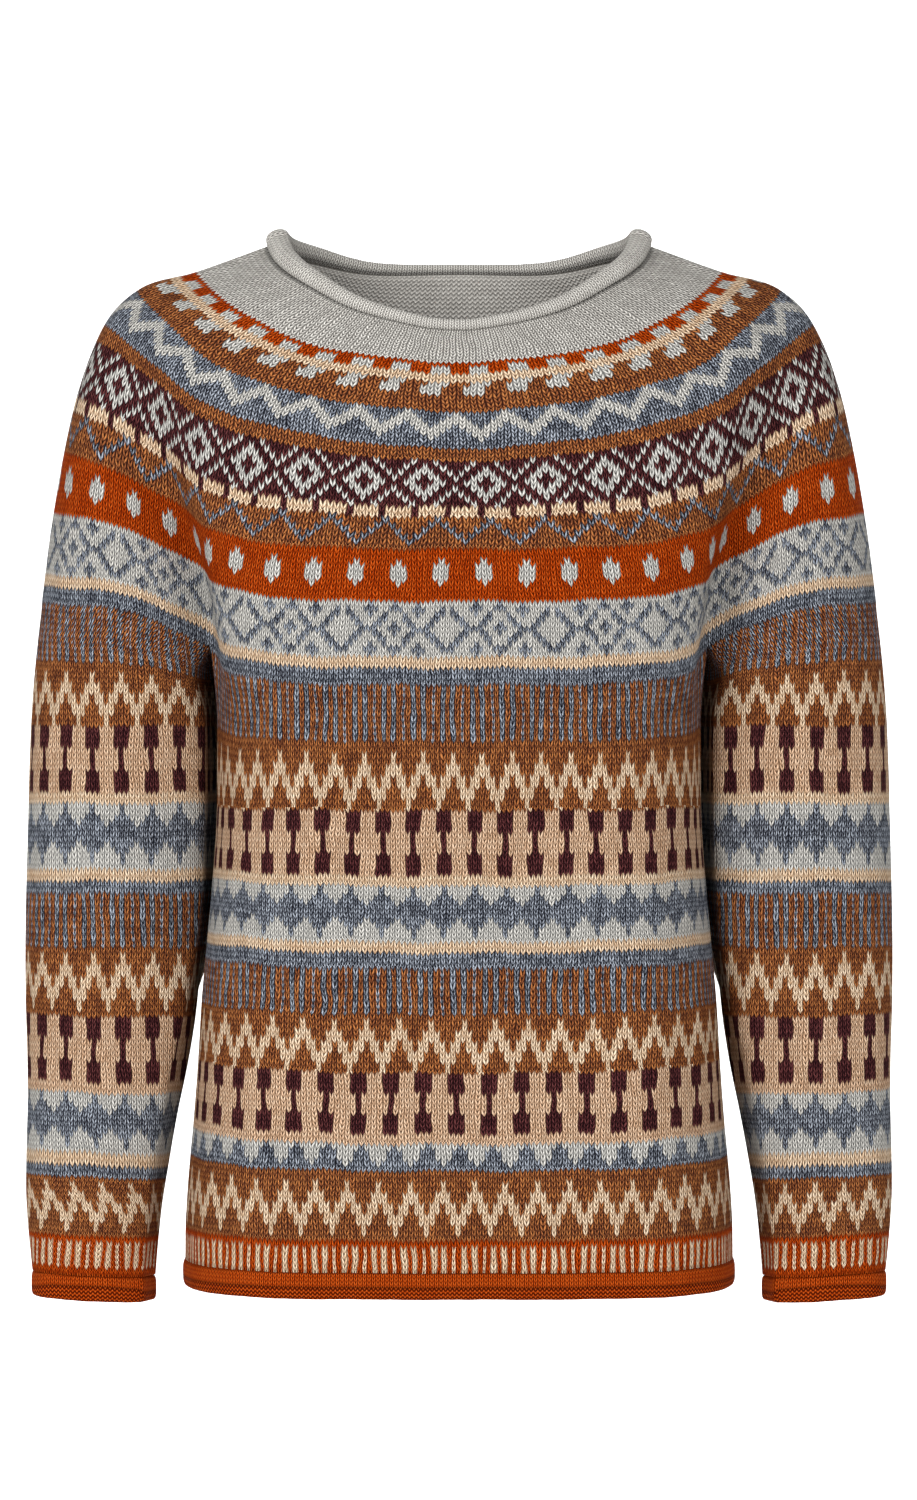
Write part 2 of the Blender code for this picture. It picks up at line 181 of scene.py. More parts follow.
# Yoke: one row for each edge of a colour band, from the neckline down to the parting. Each station is
# (x, y, z): centre front, chest, lip of the armhole fold, its bottom, front of the arm, outer arm.
# backDepth is the back's depth as a share of the front's, and backLift or backRise how much higher it is.
# repeats is how often the chart goes round, and a motif's middle column stands motifAt mm from centre front.
# column is that column's number in the chart, if not 0, and first holds a band's first rows' own numbers.
yokeBands = (
    dict(chart=("collar",), stitches=208, motifAt=0,
         front=(0, -78, -46.4), chest=(55, -70.5, -36), lip=(90, -52, -18),
         fold=(106, -33, -6), arm=(112.5, -14, 4.5), outer=(114, 4, 10.2),
         backDepth=0.85, backRise=(45, 34, 21.5, 12, 4.5, 1.5, 0)),
    dict(chart=("squares",), repeats=38, motifAt=-11.6, column=1,
         front=(0, -90, -66), chest=(80, -80, -56), lip=(120, -62, -38),
         fold=(140, -43.5, -24), arm=(152, -20, -11.5), outer=(156.2, 4, -5.2),
         backDepth=0.93, backLift=18),
    dict(chart=("wave",), repeats=36, motifAt=-1.7,
         front=(0, -102, -95.3), chest=(85, -93.5, -85.5), lip=(140, -74, -66.5),
         fold=(168, -55, -43), arm=(186, -29, -25), outer=(192, 4, -16.2),
         backDepth=0.95, backLift=17),
    dict(chart=("plainBrown",), repeats=144, motifAt=0,
         front=(0, -107, -117.1), chest=(90, -99, -107.5), lip=(145, -81, -90),
         fold=(176, -64, -68), arm=(201, -37, -46), outer=(211.8, 4, -36),
         backDepth=0.95, backLift=16),
    dict(chart=("diamonds",), repeats=32, motifAt=15.1,
         front=(0, -108.5, -124.4), chest=(90, -101, -116), lip=(147, -82, -98.5),
         fold=(177, -62, -76.5), arm=(204, -37, -55), outer=(217.2, 4, -46.2),
         backDepth=0.95, backLift=16),
    dict(chart=("blocks", "thinZigzag"), repeats=38, motifAt=-12.2,
         first=dict(rows=2, stitches=300, motifAt=13.3),
         front=(0, -111, -150.9), chest=(92, -104, -146), lip=(147, -80, -133),
         fold=(175, -54, -112), arm=(207, -43, -91), outer=(229, 3, -79.2),
         backDepth=0.94, backLift=15),
    dict(chart=("dots",), repeats=50, motifAt=-10.4,
         front=(0, -113, -175.3), chest=(92, -107, -173), lip=(144, -82, -163),
         fold=(166.5, -46, -146), arm=(203, -49, -126), outer=(236.6, 2, -112.8),
         backDepth=0.93, backLift=14),
    dict(chart=("lattice",), repeats=21, motifAt=-37.4,
         front=(0, -115, -205.5), chest=(91, -108, -204), lip=(140, -82, -195.5),
         fold=(155, -42, -182), arm=(196, -54, -161), outer=(243, 1, -149.1),
         backDepth=0.91, backLift=13.5),
    dict(chart=("parting",), repeats=220, motifAt=0,
         front=(0, -115, -237.8), chest=(90, -108, -236.5), lip=(136, -80, -229.5),
         fold=(149, -39, -214.5), arm=(193, -56, -195), outer=(248, 0, -185.4),
         backDepth=0.89, backLift=12),
    dict(chart=(),
         front=(0, -115, -253.5), chest=(90, -108, -252.5), lip=(134, -79, -246),
         fold=(147.5, -38, -231), arm=(192, -56, -210.5), outer=(250, 0, -202.2),
         backDepth=0.88, backLift=11.5),
)
# Between the front of the arm and the outer arm, one more station makes the sleeve round.
bulgeAngle, bulgeDrop = math.radians(42), 0.7
frontFold, backFold, halfRing = 3, 9, 12  # station numbers: the right folds and the centre back


def yokeHalf(band):
    # the stations of half a ring, from the centre front round the right arm to the centre back
    arm, outer = np.array(band["arm"], float), np.array(band["outer"], float)
    bulge = arm + (outer - arm) * (math.cos(bulgeAngle), 1 - math.sin(bulgeAngle), bulgeDrop)
    front = np.array([band["front"], band["chest"], band["lip"], band["fold"], arm, bulge, outer], float)
    share = np.clip(front[:, 0] / front[-1, 0], 0, 1)
    back = front.copy()
    back[:, 1] = -front[:, 1] * band["backDepth"]
    back[:, 2] += band["backRise"] if "backRise" in band else band["backLift"] * (1 - share**3)
    return np.concatenate([front, back[-2::-1]])


def yokeRings():
    # one ring for each knit row, from the right front fold round the arm and the back
    counts = [len(chartRows(*band["chart"])) for band in yokeBands[:-1]]
    edges = np.concatenate([[0], np.cumsum(counts)])
    halves = np.array([yokeHalf(band) for band in yokeBands])
    rings = []
    for half in smoothAt(edges, halves, np.arange(edges[-1] + 1)):
        ring = mirrored(half)
        turned = np.roll(ring, halfRing, axis=0)
        rings.append(np.concatenate([
            evenRun(ring, frontFold, backFold, cloth["armColumns"])[:-1],
            evenRun(ring, backFold, frontFold + halfRing, cloth["backColumns"])[:-1],
            evenRun(ring, frontFold + halfRing, backFold + halfRing, cloth["armColumns"])[:-1],
            evenRun(turned, backFold, frontFold + halfRing, cloth["frontColumns"])[:-1],
        ]))
    return np.array(rings)


# the columns of a yoke ring that stand at the four armhole folds
foldColumns = np.cumsum([0, cloth["armColumns"], cloth["backColumns"], cloth["armColumns"]])


def underarm(frontPoint, backPoint):
    # points across under the arm, sagging between the two folds
    shares = np.linspace(0, 1, cloth["underarmColumns"] + 1)[:, None]
    sag = np.sin(math.pi * shares) * (0, 0, -cloth["underarmSag"])
    return frontPoint + shares * (backPoint - frontPoint) + sag


def rowHeights(top, bands):
    # z of every knit row's edge, from the top edge down, and the rows themselves
    edges, rows = [top], []
    for band in bands:
        texts = chartRows(*band["chart"])
        edges += list(np.linspace(edges[-1], band["bottom"], len(texts) + 1)[1:])
        rows += [dict(readRow(text), band=band) for text in texts]
    return np.array(edges), rows


levelling = dict(reach=66, power=1.25)  # how far below the parting the knit rows take to come level


def knitDown(levels, heights):
    # rings at the knit rows' heights, through coarse rings, coming level below the first one
    share = np.clip((heights[0] - heights) / levelling["reach"], 0, 1)
    settle = (1 - share) ** levelling["power"]
    columns = []
    for column in range(levels.shape[1]):
        curve = levels[:, column]
        wanted = heights + (curve[0, 2] - heights[0]) * settle
        down = smoothAt(-curve[:, 2], curve[:, :2], -wanted)
        columns.append(np.column_stack([down, wanted]))
    return np.transpose(columns, (1, 0, 2))


# Body, down from the parting: half width, and how far the front and the back stand from the middle.
bodyLevels = (
    dict(z=-272, halfWidth=144.6, front=-114.8, back=100),
    dict(z=-300, halfWidth=144.6, front=-113.5, back=97),
    dict(z=-335, halfWidth=144.8, front=-110.5, back=95),
    dict(z=-372, halfWidth=147.2, front=-108, back=96),
    dict(z=-410, halfWidth=150.6, front=-107, back=98.5),
    dict(z=-446, halfWidth=153.9, front=-107, back=101.5),
    dict(z=-482, halfWidth=156, front=-108, back=104),
    dict(z=-518, halfWidth=158.6, front=-109, back=106),
    dict(z=-554, halfWidth=162, front=-110, back=107),
    dict(z=-577, halfWidth=163.4, front=-110.5, back=107.3),
    dict(z=-596, halfWidth=163.6, front=-110.5, back=107.3),
)
# Corners from the centre to the side, as shares of the half width and of the front's or back's depth.
bodyCorners = ((0.62, 0.94), (0.885, 0.68), (0.982, 0.34))
bodySide, bodyFarSide = 4, 12  # station numbers of the two sides
# bottom is the z of the band's lower edge, and stitch the width of a stitch at the centre front.
bodyBands = (
    dict(chart=(("stripes", 9),), bottom=-286.1, stitch=2.85, motifAt=-3.5),
    dict(chart=(("brown", 2), "zigzag"), bottom=-326.7, stitch=2.85, motifAt=-3.5),
    dict(chart=("barbells", ("cream", 2)), bottom=-370.7, stitch=2.95, motifAt=-8.7),
    dict(chart=("chain",), bottom=-403.2, stitch=3.0, motifAt=-8.7),
    dict(chart=(("cream", 2), ("slate", 3)), bottom=-418.5, stitch=3.05, motifAt=-8.7),
    dict(chart=(("stripes", 7),), bottom=-444.9, stitch=3.12, motifAt=2.7),
    dict(chart=("brown", "zigzag"), bottom=-479.1, stitch=3.13, motifAt=2.7),
    dict(chart=("barbells", ("camel", 2)), bottom=-520.2, stitch=3.16, motifAt=-1.7),
    dict(chart=("halfDiamonds",), bottom=-535.6, stitch=3.19, motifAt=0.8),
    dict(chart=(("brown", 2), "zigzag", "brown"), bottom=-576.1, stitch=3.06, motifAt=-9.5),
    dict(chart=("rust", ("ticks", 5)), bottom=-596, stitch=2.89, motifAt=-8.7),
)
bodyStitches = 288  # all round


def bodyHalf(level):
    # the stations of half a ring, from the centre front round the right side to the centre back
    width = level["halfWidth"]
    sides = [[(0, level[side])] + [(across * width, depth * level[side]) for across, depth in bodyCorners]
             for side in ("front", "back")]
    plan = np.array(sides[0] + [(width, 0)] + sides[1][::-1], float)
    return np.column_stack([plan, np.full(len(plan), level["z"])])


def bodyPanels(parting, heights):
    # front and back panel, each with its half of both underarms
    reach = cloth["underarmColumns"] // 2
    rightFront, rightBack, leftBack, leftFront = parting[foldColumns]
    right, left = underarm(rightFront, rightBack), underarm(leftFront, leftBack)
    front = [np.concatenate([left[reach::-1], parting[foldColumns[3] + 1:], right[:reach + 1]])]
    back = [np.concatenate([right[reach:], parting[foldColumns[1] + 1:foldColumns[2]], left[:reach - 1:-1]])]
    for level in bodyLevels:
        ring = mirrored(bodyHalf(level))
        turned = np.roll(ring, bodyFarSide - bodySide, axis=0)
        for panel, around, faces in ((front, turned, "frontColumns"), (back, ring, "backColumns")):
            panel.append(np.concatenate([
                evenRun(around, bodySide, bodySide + 1, reach)[:-1],
                evenRun(around, bodySide + 1, bodyFarSide - 1, cloth[faces])[:-1],
                evenRun(around, bodyFarSide - 1, bodyFarSide, reach),
            ]))
    return [knitDown(np.array(panel), heights) for panel in (front, back)]


# Sleeve, down from the parting: its outer edge z, how much lower its inner edge is, its inner and outer
# edges in x, the middle and half depth in y, how far its back corner tucks in behind the body, and how
# far its front corner presses up to the body.
sleeveLevels = (
    dict(z=-228, drop=16, inner=148.6, outer=252.6, middle=-1, halfDepth=54.5, tuck=15, press=3),
    dict(z=-262, drop=10, inner=148.6, outer=255.8, middle=1, halfDepth=54, tuck=16, press=6),
    dict(z=-300, drop=8, inner=148.6, outer=257.8, middle=3, halfDepth=53, tuck=17, press=6.5),
    dict(z=-340, drop=7, inner=149.2, outer=258.9, middle=4, halfDepth=52, tuck=16, press=6.5),
    dict(z=-380, drop=6, inner=151.4, outer=260, middle=4, halfDepth=50.5, tuck=16, press=6.5),
    dict(z=-420, drop=5, inner=155.4, outer=260.4, middle=3, halfDepth=48, tuck=10, press=5),
    dict(z=-448, drop=4, inner=158.2, outer=260, middle=1.5, halfDepth=46, tuck=3, press=2),
    dict(z=-476, drop=3, inner=162.6, outer=259, middle=0, halfDepth=43.5, tuck=0, press=0),
    dict(z=-504, drop=2, inner=168.2, outer=258.6, middle=-2, halfDepth=41, tuck=0, press=0),
    dict(z=-532, drop=1, inner=173.2, outer=259.2, middle=-4, halfDepth=38.5, tuck=0, press=0),
    dict(z=-560, drop=0, inner=177.6, outer=259.2, middle=-5.5, halfDepth=36, tuck=0, press=0),
    dict(z=-584, drop=0, inner=180, outer=257.4, middle=-7, halfDepth=34, tuck=0, press=0),
    dict(z=-603.5, drop=0, inner=181.6, outer=255.4, middle=-7.5, halfDepth=32.5, tuck=0, press=0),
)
# Stations from the inner edge round the front to the outer edge, and back: share across, and of the depth.
sleeveFront = ((0.085, -0.66), (0.44, -1), (0.86, -0.67), (1, 0))
sleeveBack = ((0.86, 0.67), (0.44, 1))
sleeveTuck = (0.085, 0.78)
tuckStation = 6  # its number in a ring, before the inner edge
pressFlattens = 0.015  # share of the half depth for each mm of press
sleeveBands = (
    dict(chart=(("stripes", 9),), bottom=-237),
    dict(chart=(("brown", 2), "zigzag"), bottom=-277),
    dict(chart=("barbells", ("cream", 2)), bottom=-323),
    dict(chart=("chain",), bottom=-362),
    dict(chart=(("cream", 2), ("slate", 2)), bottom=-376),
    dict(chart=(("stripes", 8),), bottom=-408),
    dict(chart=("brown", "zigzag", "brown"), bottom=-448.7),
    dict(chart=("barbells", ("camel", 2)), bottom=-494),
    dict(chart=("chain",), bottom=-529),
    dict(chart=(("cream", 2), ("slate", 2)), bottom=-543.8),
    dict(chart=("brown", "zigzag", "brown"), bottom=-578.6),
    dict(chart=("rust", ("ticks", 5)), bottom=-597),
    dict(chart=(("rust", 2),), bottom=-603.5),
)
sleeveStitch = 3.0
sleeveMotif = dict(right=193.5, left=181.7)  # where a motif's middle column stands, in x


def sleeveRing(level):
    # the stations of the right sleeve, level by level
    width = level["outer"] - level["inner"]
    tuck = (sleeveTuck[0] - level["tuck"] / width, sleeveTuck[1])
    pressed = (sleeveFront[0][0] - level["press"] / width, sleeveFront[0][1] + level["press"] * pressFlattens)
    return np.array([
        (level["inner"] + across * width, level["middle"] + depth * level["halfDepth"],
         level["z"] - level["drop"] * (1 - across))
        for across, depth in (pressed, *sleeveFront[1:], *sleeveBack, tuck, (0, 0))
    ])


def sleeveGrid(parting, heights):
    # the right sleeve, each ring from the underarm's middle round the front of the arm and back to it
    arm = parting[:foldColumns[1] + 1]
    rings = [np.concatenate([arm[:-1], underarm(arm[0], arm[-1])[:0:-1]])]
    for level in sleeveLevels:
        ring = sleeveRing(level)
        corners = np.concatenate([ring[tuckStation:], ring[:1]])
        places = np.linspace(0, len(corners) - 1, cloth["underarmColumns"] + 1)
        seam = np.transpose([np.interp(places, range(len(corners)), axis) for axis in corners.T])
        rings.append(np.concatenate([evenRun(ring, 0, tuckStation, cloth["armColumns"])[:-1], seam[:-1]]))
    turned = np.roll(np.array(rings), cloth["underarmColumns"] // 2, axis=1)
    closed = np.concatenate([turned, turned[:, :1]], axis=1)
    return knitDown(closed, heights)


# Soft troughs and ridges, listed one by one: start and end in (x, z), and below 0 the height is a trough's.
folds = (
    dict(start=(-128, -262), end=(-96, -356), width=13, height=-2.2, side="front"),
    dict(start=(-118, -258), end=(-70, -300), width=11, height=1.4, side="front"),
    dict(start=(126, -258), end=(98, -352), width=13, height=-2.0, side="front"),
    dict(start=(-60, -420), end=(-84, -560), width=22, height=1.6, side="front"),
    dict(start=(34, -400), end=(46, -560), width=24, height=-1.6, side="front"),
    dict(start=(104, -430), end=(118, -585), width=18, height=1.8, side="front"),
    dict(start=(-120, -250), end=(-88, -350), width=14, height=-2.4, side="back"),
    dict(start=(118, -246), end=(84, -340), width=14, height=-2.2, side="back"),
    dict(start=(-70, -300), end=(-20, -350), width=16, height=-1.6, side="back"),
    dict(start=(66, -296), end=(10, -338), width=16, height=-1.5, side="back"),
    dict(start=(-36, -420), end=(-52, -570), width=24, height=1.8, side="back"),
    dict(start=(60, -430), end=(76, -580), width=22, height=-1.8, side="back"),
)
# Slow waves all over: direction in (x, z), length, height, shift, in mm and turns.
waves = (
    dict(across=(0.95, 0.31), length=83, height=0.55, shift=0.13),
    dict(across=(-0.62, 0.78), length=57, height=0.4, shift=0.57),
    dict(across=(0.28, 0.96), length=41, height=0.3, shift=0.31),
)
# Small waves up and down along the knit rows.
rowWaves = (
    dict(length=71, height=0.5, shift=0.2),
    dict(length=29, height=0.3, shift=0.7),
    dict(length=12.7, height=0.2, shift=0.4),
)
waveDepth = 0.4  # how much a slow wave also runs from front to back
rowWaveSlant = 190  # how far down the garment a row wave shifts by one whole turn
foldFade = 0.25  # share of a fold's length over which it fades in, before and after each end
sideBlend = 30  # how far from the middle plane the folds reach their full height
calmTop = dict(z=-30, reach=50)  # above this nothing moves
calmFoot = dict(z=-610, reach=60, least=0.25)  # and towards this only a little
# how far the body's rows climb at its sides, fading in below the top and out above the foot
sideRise = dict(height=3.6, power=2.5, width=150, top=(-290, -380), foot=(-600, -520))


def ramp(numbers, start, end):
    # 0 at the start and before it, 1 at the end and past it
    return np.clip((numbers - start) / (end - start), 0, 1)


def hang(points):
    # the body's rows climb towards its sides, and all the soft folds come on top
    x, z = points[..., 0], points[..., 2]
    share = ramp(z, *sideRise["top"]) * ramp(z, *sideRise["foot"])
    moved = points.copy()
    moved[..., 2] += sideRise["height"] * (np.abs(x) / sideRise["width"]) ** sideRise["power"] * share
    return drape(moved)


# how far a sleeve's rows sink towards the body, growing from the top to the foot
sleeveTilt = dict(drop=4.2, power=1.4, top=-400, foot=-560, inner=165, outer=255)


def hangArm(points):
    # the sleeve's rows sink towards the body near the cuff, and all the soft folds come on top
    x, z = np.abs(points[..., 0]), points[..., 2]
    near = ramp(x, sleeveTilt["outer"], sleeveTilt["inner"]) ** sleeveTilt["power"]
    share = ramp(z, sleeveTilt["top"], sleeveTilt["foot"])
    moved = points.copy()
    moved[..., 2] -= sleeveTilt["drop"] * near * share
    return drape(moved)


def drape(points):
    # soft folds and waves move each point by its own place only, so that seams stay shut
    x, y, z = points[..., 0], points[..., 1], points[..., 2]
    push = np.zeros_like(x)
    for fold in folds:
        (x0, z0), (x1, z1) = fold["start"], fold["end"]
        length = math.hypot(x1 - x0, z1 - z0)
        along = ((x - x0) * (x1 - x0) + (z - z0) * (z1 - z0)) / length**2
        off = ((x - x0) * (z1 - z0) - (z - z0) * (x1 - x0)) / length
        ends = ramp(np.minimum(along, 1 - along), -foldFade, foldFade)
        ends = ends * ends * (3 - 2 * ends)
        facing = (y < 0) if fold["side"] == "front" else (y > 0)
        push += fold["height"] * np.exp(-((off / fold["width"]) ** 2)) * ends * facing
    for wave in waves:
        run = (x * wave["across"][0] + z * wave["across"][1] + y * waveDepth) / wave["length"] + wave["shift"]
        push += wave["height"] * np.sin(math.tau * run)
    lift = np.zeros_like(x)
    for wave in rowWaves:
        run = x / wave["length"] + z / rowWaveSlant + wave["shift"]
        lift += wave["height"] * np.sin(math.tau * run)
    frontward = np.clip(np.abs(y) / sideBlend, 0, 1) * np.sign(y)
    calm = ramp(z, calmTop["z"], calmTop["z"] - calmTop["reach"])
    calm *= np.clip((z - calmFoot["z"]) / calmFoot["reach"], calmFoot["least"], 1)
    moved = points.copy()
    moved[..., 1] += push * frontward * calm
    moved[..., 2] += lift * calm
    return moved


def outwardNormals(grid, closed):
    # directions out of the cloth, for a grid that runs down and then to the right as seen from outside
    along = np.roll(grid, -1, axis=1) - np.roll(grid, 1, axis=1) if closed else np.gradient(grid, axis=1)
    normals = np.cross(np.gradient(grid, axis=0), along)
    return normals / np.linalg.norm(normals, axis=2, keepdims=True)


def setFaces(mesh, name, numbers):
    # three numbers for every face, under one name
    mesh.attributes.new(name, "FLOAT_VECTOR", "FACE").data.foreach_set("vector", np.ravel(numbers))


def rowNumbers(rows, above):
    # what the knit material reads on the faces of each row: that row, and the row over it
    table = {name: [] for name in ("ownBits", "ownYarns", "overBits", "overYarns", "overMap")}
    for index, row in enumerate(rows):
        over = rows[index - 1] if index else above or row
        table["ownBits"].append((row["bits"], row["narrow"], row["period"]))
        table["ownYarns"].append((row["ground"], row["figure"], index))
        table["overBits"].append((over["bits"], over["narrow"], over["period"]))
        table["overYarns"].append((over["ground"], over["figure"], over["spread"]))
        ratio = over["stitches"] / row["stitches"]
        table["overMap"].append((ratio, over["shift"] - row["shift"] * ratio, row["spread"]))
    return {name: np.array(numbers, float) for name, numbers in table.items()}


def wallFaces(rings, columns, closed):
    # faces of a double wall: outside, inside, and the strips that join them at the top and the foot
    count = rings * columns
    spans = columns if closed else columns - 1
    row, column = (numbers.ravel() for numbers in np.mgrid[0:rings - 1, 0:spans])
    beside = (column + 1) % columns
    outside = np.stack([row * columns + column, (row + 1) * columns + column,
                        (row + 1) * columns + beside, row * columns + beside], axis=1)
    edge = np.arange(spans)
    side = (edge + 1) % columns
    last = (rings - 1) * columns
    top = np.stack([edge, side, side + count, edge + count], axis=1)
    foot = np.stack([side, edge, edge + count, side + count], axis=1) + last
    return row, column, [outside, outside[:, ::-1] + count, top, foot]


def makePiece(name, walls, faces, places):
    # one mesh object from a wall's outer and inner points, its faces and their places on the stitch map
    points = np.concatenate([wall.reshape(-1, 3) for wall in walls]) * mm
    mesh = bpy.data.meshes.new(name)
    mesh.from_pydata(points.tolist(), [], np.concatenate(faces).tolist())
    mesh.uv_layers.new(name="stitchMap").data.foreach_set("uv", np.concatenate(places).ravel())
    mesh.shade_smooth()
    piece = bpy.data.objects.new(name, mesh)
    bpy.context.scene.collection.objects.link(piece)
    return piece


def addShell(name, outside, across, rows, above, closed):
    # A knitted wall: across holds the stitch count at each column's edge, for the top and the bottom edge
    # of every knit row, and above is the row that hangs into the first one.
    rings, columns = outside.shape[:2]
    inside = outside - cloth["thickness"] * outwardNormals(outside, closed)
    row, column, faces = wallFaces(rings, columns, closed)
    stitch = np.stack([across[row, 0, column], across[row, 1, column],
                       across[row, 1, column + 1], across[row, 0, column + 1]], axis=1)
    place = np.stack([stitch, np.stack([row, row + 1, row + 1, row], axis=1)], axis=2)
    spans = len(faces[-1])
    owners = [row, row, np.zeros(spans, int), np.full(spans, rings - 2)]  # the knit row of every face
    if not closed:
        down = np.arange(rings - 1)
        count = rings * columns
        left = np.stack([down * columns, down * columns + count,
                         (down + 1) * columns + count, (down + 1) * columns], axis=1)
        faces += [left, left[:, ::-1] + columns - 1]
        owners += [down, down]
    places = [place, place[:, ::-1]] + [np.full((len(strip), 4, 2), 0.5) for strip in faces[2:]]
    piece = makePiece(name, (outside, inside), faces, places)
    owner = np.concatenate(owners)
    for attribute, numbers in rowNumbers(rows, above).items():
        setFaces(piece.data, attribute, numbers[owner])
    material = np.ones(len(owner), int)
    material[:len(faces[0])] = 0  # only the outer face shows the knit side
    piece.data.polygons.foreach_set("material_index", material)
    return piece


def bandPhase(band, stitchWidth):
    # the stitch number at centre front, so that the motif's middle column stands where it should
    return band.get("column", 0) + 0.5 - band["motifAt"] / stitchWidth


def yokeRows(rings):
    # the yoke's knit rows, and the stitch count at every column of each row's two edges
    closed = np.concatenate([rings, rings[:, :1]], axis=1)
    along = arcLengths(closed)
    perimeter = along[:, -1:]
    centre = foldColumns[3] + cloth["frontColumns"] // 2
    turns = 1 + (along - along[:, centre:centre + 1]) / perimeter
    rows, across, first = [], [], 0
    for band in yokeBands[:-1]:
        bandRows = [readRow(text) for text in chartRows(*band["chart"])]
        middle = first + len(bandRows) // 2
        own = band.get("first", {})
        for index, row in enumerate(bandRows):
            placed = own if index < own.get("rows", 0) else band
            row["stitches"] = placed.get("stitches") or placed["repeats"] * bandRows[-1]["period"]
            row["shift"] = bandPhase(placed, perimeter[middle, 0] / row["stitches"])
            rows.append(row)
            ring = first + index
            across.append(turns[ring:ring + 2] * row["stitches"] + row["shift"])
        first += len(bandRows)
    return rows, np.array(across)


def bodyRows(rows, front, back):
    # stitches across the front panel keep its own width, and the back panel takes the rest of the round
    frontArc, backArc = arcLengths(front), arcLengths(back)
    frontArc -= frontArc[:, -1:] / 2
    across = dict(front=[], back=[])
    for index, row in enumerate(rows):
        band = row["band"]
        row["stitches"] = bodyStitches
        row["shift"] = bandPhase(band, band["stitch"])
        own = frontArc[index:index + 2] / band["stitch"]
        across["front"].append(own + row["shift"])
        edge = own[:, -1:]
        rest = bodyStitches - 2 * edge
        share = backArc[index:index + 2] / backArc[index:index + 2, -1:]
        across["back"].append(edge + share * rest + row["shift"])
    return np.array(across["front"]), np.array(across["back"])


def sleeveRows(rows, grid, side):
    # stitches are counted from the outer arm, so that the band's motif stands where it should
    arc = arcLengths(grid)
    across = []
    outer = grid.shape[1] // 2
    front = slice(2, outer)  # the first columns lie in the seam, where x doesn't rise steadily
    for index, row in enumerate(rows):
        at = np.interp(sleeveMotif[side], grid[index, front, 0], arc[index, front])
        row["stitches"] = 1
        row["shift"] = 0.5 - (at - arc[index, outer]) / sleeveStitch
        fromOuter = arc[index:index + 2] - arc[index:index + 2, outer:outer + 1]
        across.append(fromOuter / sleeveStitch + row["shift"])
    return np.array(across)


yokeGrid = yokeRings()
yokeKnit, yokeAcross = yokeRows(yokeGrid)
parting = yokeGrid[-1]
bodyHeights, bodyKnit = rowHeights(yokeBands[-1]["front"][2], bodyBands)
bodyFront, bodyBack = bodyPanels(parting, bodyHeights)
frontAcross, backAcross = bodyRows(bodyKnit, bodyFront, bodyBack)
sleeveHeights, sleeveKnit = rowHeights(yokeBands[-1]["outer"][2], sleeveBands)
rightSleeve = sleeveGrid(parting, sleeveHeights)
print("rings and panels")

aboveBody = dict(yokeKnit[-1], stitches=bodyStitches, shift=0)
yoke = addShell("yokeShell", drape(yokeGrid), yokeAcross, yokeKnit, None, True)
frontPanel = addShell("frontShell", hang(bodyFront), frontAcross, bodyKnit, aboveBody, False)
backPanel = addShell("backShell", hang(bodyBack), backAcross, bodyKnit, aboveBody, False)
sleeves = {}
aboveSleeve = dict(yokeKnit[-1], stitches=1, shift=0)
for side, flip in sideFlips:
    grid = rightSleeve[:, ::flip] * (flip, 1, 1)
    rows = [dict(row) for row in sleeveKnit]
    across = sleeveRows(rows, rightSleeve, side)
    if flip < 0:  # mirrored, so its stitches are counted the other way round
        across = 1 - across[:, :, ::-1]
        for row in rows:
            row["shift"] = 1 - row["shift"]
    sleeves[side] = addShell(f"{side}SleeveShell", hangArm(grid)[:, :-1], across, rows, aboveSleeve, True)
print("knitted shells")


# Rolls: start and turn are degrees round the section, and row and stitch the sizes of a knit stitch.
# reach and depth are the neck roll's half sizes along and across the cloth, and standOut is how far out its
# middle lies, each at the centre front and back and then at the sides. Below 0 the gap is an overlap.
neckRoll = dict(reach=(3.3, 7.2), depth=(3.7, 5.2), standOut=(1.7, 3.6), gap=-0.9,
                start=236, turn=334, roundness=1, row=2.6, stitch=3.2)
# early is how many rows sooner the purl side begins at the front and back than at the sides.
hemRoll = dict(height=15.6, depth=7.6, overhang=1.4,
               start=120, turn=318, roundness=0.55, row=2.4, stitch=2.6, early=0.4)
cuffRoll = dict(height=15.2, depth=7.0, overhang=0.5,
                start=120, turn=318, roundness=0.55, row=2.4, stitch=2.6, early=1.6)
rollSteps, rollThickness = 30, 1.7


def scroll(name, ring, across, up, roll, early):
    # cloth that curls round a closed ring: an oval tube, open on its hidden side, with the half sizes
    # across and up at each point of the ring
    angles = np.radians(roll["start"] - np.linspace(0, roll["turn"], rollSteps + 1))
    sides = np.column_stack([np.cos(angles), np.sin(angles)]).round(6)
    sides = np.sign(sides) * np.abs(sides) ** roll["roundness"]
    walls = []
    for shrink in (0, rollThickness):
        wide = across * (1 - shrink / np.linalg.norm(across, axis=1, keepdims=True))
        tall = up * (1 - shrink / np.linalg.norm(up, axis=1, keepdims=True))
        walls.append(ring + sides[:, :1, None] * wide + sides[:, 1:, None] * tall)
    rings, columns = walls[0].shape[:2]
    row, column, faces = wallFaces(rings, columns, True)
    beside = (column + 1) % columns
    run = arcLengths(np.concatenate([ring, ring[:1]]))
    u = run / run[-1] * round(run[-1] / roll["stitch"])
    down = arcLengths(np.transpose(walls[0], (1, 0, 2))).mean(axis=0) / roll["row"]
    place = np.stack([
        np.stack([u[column], u[column], u[column + 1], u[column + 1]], axis=1),
        np.stack([down[row] + early[column], down[row + 1] + early[column],
                  down[row + 1] + early[beside], down[row] + early[beside]], axis=1)], axis=2)
    strips = np.zeros((2 * columns, 4, 2))
    return makePiece(name, walls, faces, [place, place[:, ::-1], strips])


